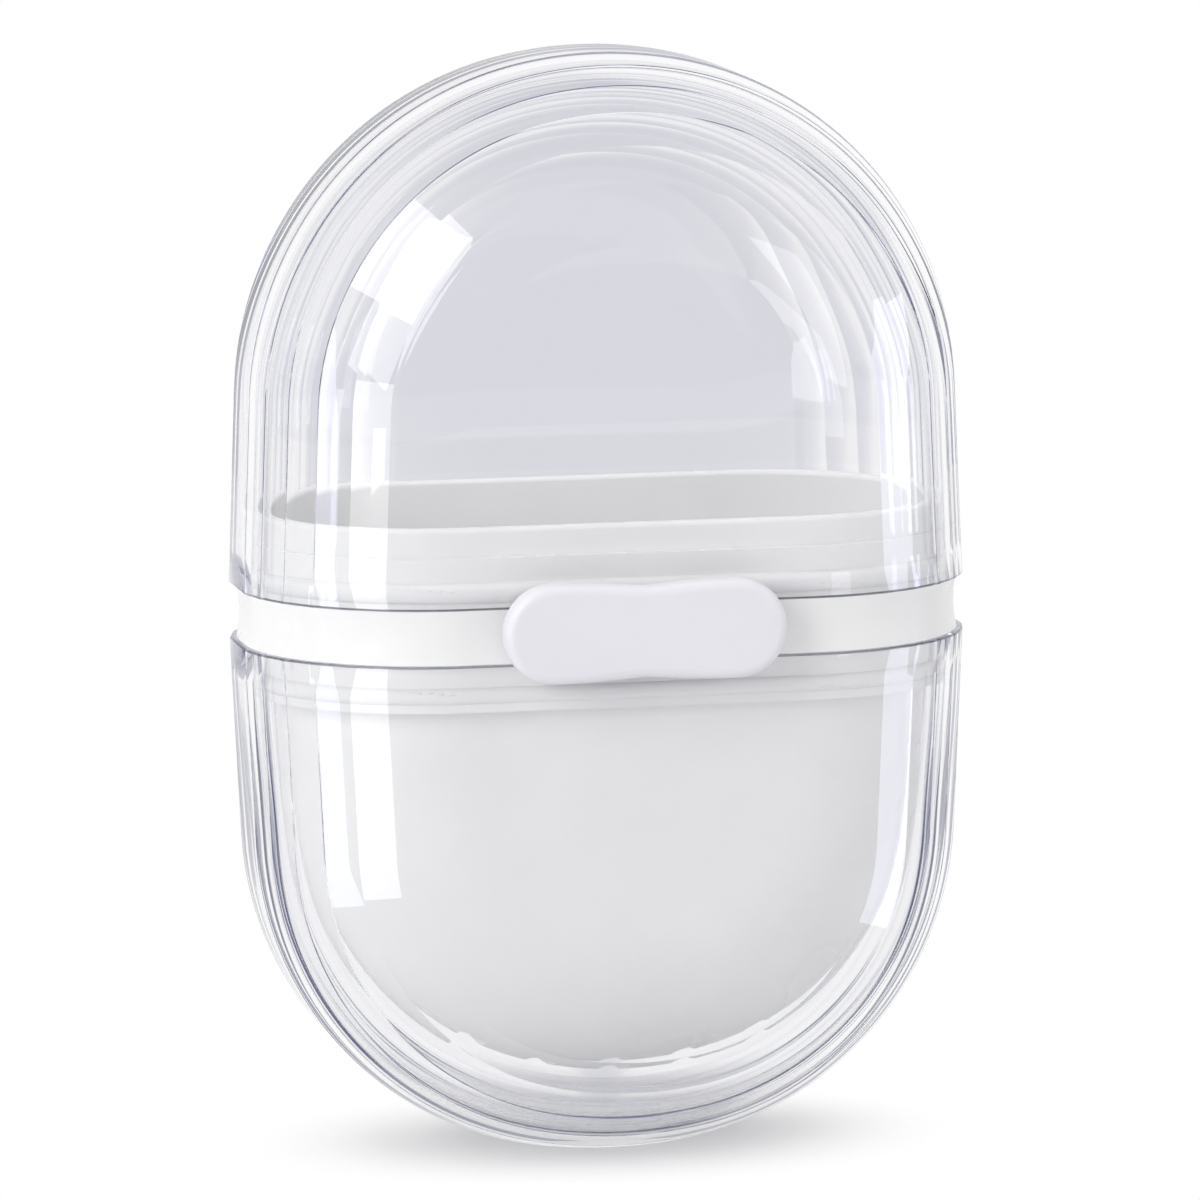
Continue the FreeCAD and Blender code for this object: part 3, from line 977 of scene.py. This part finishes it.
@dataclass
class Studio:
    """Paper sweep and softboxes round the box; sizes are in metres."""

    floor_half: float = 4.0
    floor_drop: float = 0.00002
    aim: tuple[float, float, float] = (0.0, 0.0, 0.06)
    ambient: str = "#E8E8E8"
    ambient_strength: float = 0.60
    room: str = "#B4B7C6"
    softboxes: tuple[Softbox, ...] = (
        Softbox("key_softbox", (-0.55, -0.42, 0.53), (0.46, 0.36), 2.0, LampRole.GLINT, roll=-20.0),
        Softbox("front_strip", (-0.54, -0.55, -0.06), (0.17, 0.36), 0.67, LampRole.GLINT),
        Softbox("left_strip", (-0.72, -0.20, 0.02), (0.10, 0.60), 0.7, LampRole.GLINT, "#DDE2FF"),
        Softbox("right_strip", (0.606, -0.215, -0.02), (0.07, 0.50), 0.36, LampRole.GLINT, "#E4E8FF"),
        Softbox("side_strip", (0.65, -0.017, -0.02), (0.06, 0.50), 0.36, LampRole.GLINT, "#D8DEFF"),
        Softbox("front_glow", (0.42, -0.62, 0.18), (0.16, 0.30), 0.3, LampRole.GLINT),
        Softbox("left_fill", (-0.72, -0.56, 0.45), (0.60, 0.60), 4.1, LampRole.LIGHT),
        Softbox("side_fill", (-0.80, -0.12, 0.10), (0.40, 0.40), 0.6, LampRole.LIGHT),
        Softbox("right_fill", (0.70, -0.35, 0.30), (0.50, 0.50), 1.2, LampRole.LIGHT),
        Softbox("top_softbox", (0.0, 0.05, 0.75), (0.7, 0.7), 2.2, LampRole.LIGHT),
    )

    def build(self) -> None:
        """Makes the stage, the lamps and the world."""
        self.floor()
        for softbox in self.softboxes:
            softbox.build(Vector(self.aim))
        self.world()

    def floor(self) -> None:
        """Lays the paper, which shows in no reflection."""
        half = self.floor_half
        mesh = bpy.data.meshes.new("paper_floor")
        corners = [(-half, -half, 0), (half, -half, 0), (half, half, 0), (-half, half, 0)]
        mesh.from_pydata(corners, [], [(0, 1, 2, 3)])
        mesh.materials.append(PAPER.material())
        piece = bpy.data.objects.new("paper_floor", mesh)
        piece.matrix_world = Matrix.Translation((0, 0, -self.floor_drop))
        bpy.context.scene.collection.objects.link(piece)
        piece.visible_glossy = False

    def world(self) -> None:
        """Makes the surround: even light, a white backdrop behind the box and a dim room in front of it."""
        world = bpy.data.worlds.new("studio")
        bpy.context.scene.world = world
        world.use_nodes = True
        tree = world.node_tree
        tree.nodes.clear()
        way = add_node(tree, "ShaderNodeTexCoord").outputs["Generated"]
        tone = BACKDROP.tone(tree, way, self.room)
        light = add_node(tree, "ShaderNodeBackground", {
            "Color": linear(self.ambient),
            "Strength": self.ambient_strength,
        })
        seen = add_node(tree, "ShaderNodeBackground", {"Color": tone, "Strength": 1.0})
        mix = add_node(tree, "ShaderNodeMixShader", {
            0: seen_share(tree),
            1: light.outputs[0],
            2: seen.outputs[0],
        })
        add_node(tree, "ShaderNodeOutputWorld", {"Surface": mix.outputs[0]})


@dataclass
class PhotoCamera:
    """Camera at the photograph's viewing angle, with a long lens.

    Angles are in degrees and sizes in millimetres; sees_to is in metres.
    """

    azimuth: float = -11.60
    elevation: float = 8.35
    roll: float = -0.41
    distance: float = 1190.0
    focal_pixels: float = 10866.0
    image_pixels: float = 1200.0
    sensor: float = 36.0
    sees_to: float = 50.0
    target: tuple[float, float, float] = (0.3, -0.26, 59.65)

    def build(self) -> None:
        """Makes the camera and sets it as the scene's."""
        angles = (self.azimuth, self.elevation, self.roll)
        azimuth, elevation, roll = (math.radians(angle) for angle in angles)
        back = Vector((math.sin(azimuth) * math.cos(elevation), -math.cos(azimuth) * math.cos(elevation),
                       math.sin(elevation)))
        level = Vector((math.cos(azimuth), math.sin(azimuth), 0))
        up = back.cross(level)
        right = level * math.cos(roll) + up * math.sin(roll)
        over = up * math.cos(roll) - level * math.sin(roll)
        lens = bpy.data.cameras.new("photo_camera")
        lens.sensor_width = self.sensor
        lens.lens = self.focal_pixels / self.image_pixels * self.sensor
        lens.clip_end = self.sees_to
        camera = bpy.data.objects.new("photo_camera", lens)
        turn = Matrix((right, over, back)).transposed().to_4x4()
        camera.matrix_world = Matrix.Translation((Vector(self.target) + back * self.distance) * MM) @ turn
        bpy.context.scene.collection.objects.link(camera)
        bpy.context.scene.camera = camera


@dataclass
class Capsule:
    """The two clear ends on either side of the collar; sizes are in millimetres and drafts in degrees."""

    collar_height: float = 5.9
    foot_trim: float = 0.5
    base_draft: float = 2.7
    base_crown_extra: float = 10.0
    base_shoulder_tuck: float = 3.5
    base_thin_to: float = 5.9
    lid_height: float = 58.0
    lid_draft: float = 2.2
    lid_crown_extra: float = 3.8
    lid_shoulder_tuck: float = 2.0
    lid_thin_to: float = 17.0

    def build(self) -> None:
        """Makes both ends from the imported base's width, depth and mouth."""
        _, base_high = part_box("base_shell")
        half_width, half_depth = base_high.x / MM, base_high.y / MM
        base_mouth = base_high.z / MM
        base_arch = EndArch(half_width, base_mouth + self.foot_trim, self.base_draft, self.base_crown_extra,
                            self.base_shoulder_tuck)
        lid_arch = EndArch(half_width, self.lid_height, self.lid_draft, self.lid_crown_extra,
                           self.lid_shoulder_tuck)
        lid_mouth = base_mouth + self.collar_height
        BaseShell("clear_base", "base_shell", Body.BASE, base_arch, base_mouth, Sense.DOWN, half_depth,
                  self.base_thin_to).build()
        LidShell("clear_lid", "lid_shell", Body.LID, lid_arch, lid_mouth, Sense.UP, half_depth,
                 self.lid_thin_to).build()


def main() -> None:
    """Builds the shells, dresses the tray and the clasp, and sets up the studio."""
    logging.basicConfig(level=logging.INFO, format="%(message)s")
    bpy.context.scene.view_settings.view_transform = "Standard"
    Capsule().build()
    SoapTray().build()
    PressClasp().build()
    Studio().build()
    PhotoCamera().build()


if __name__ == "__main__":
    main()
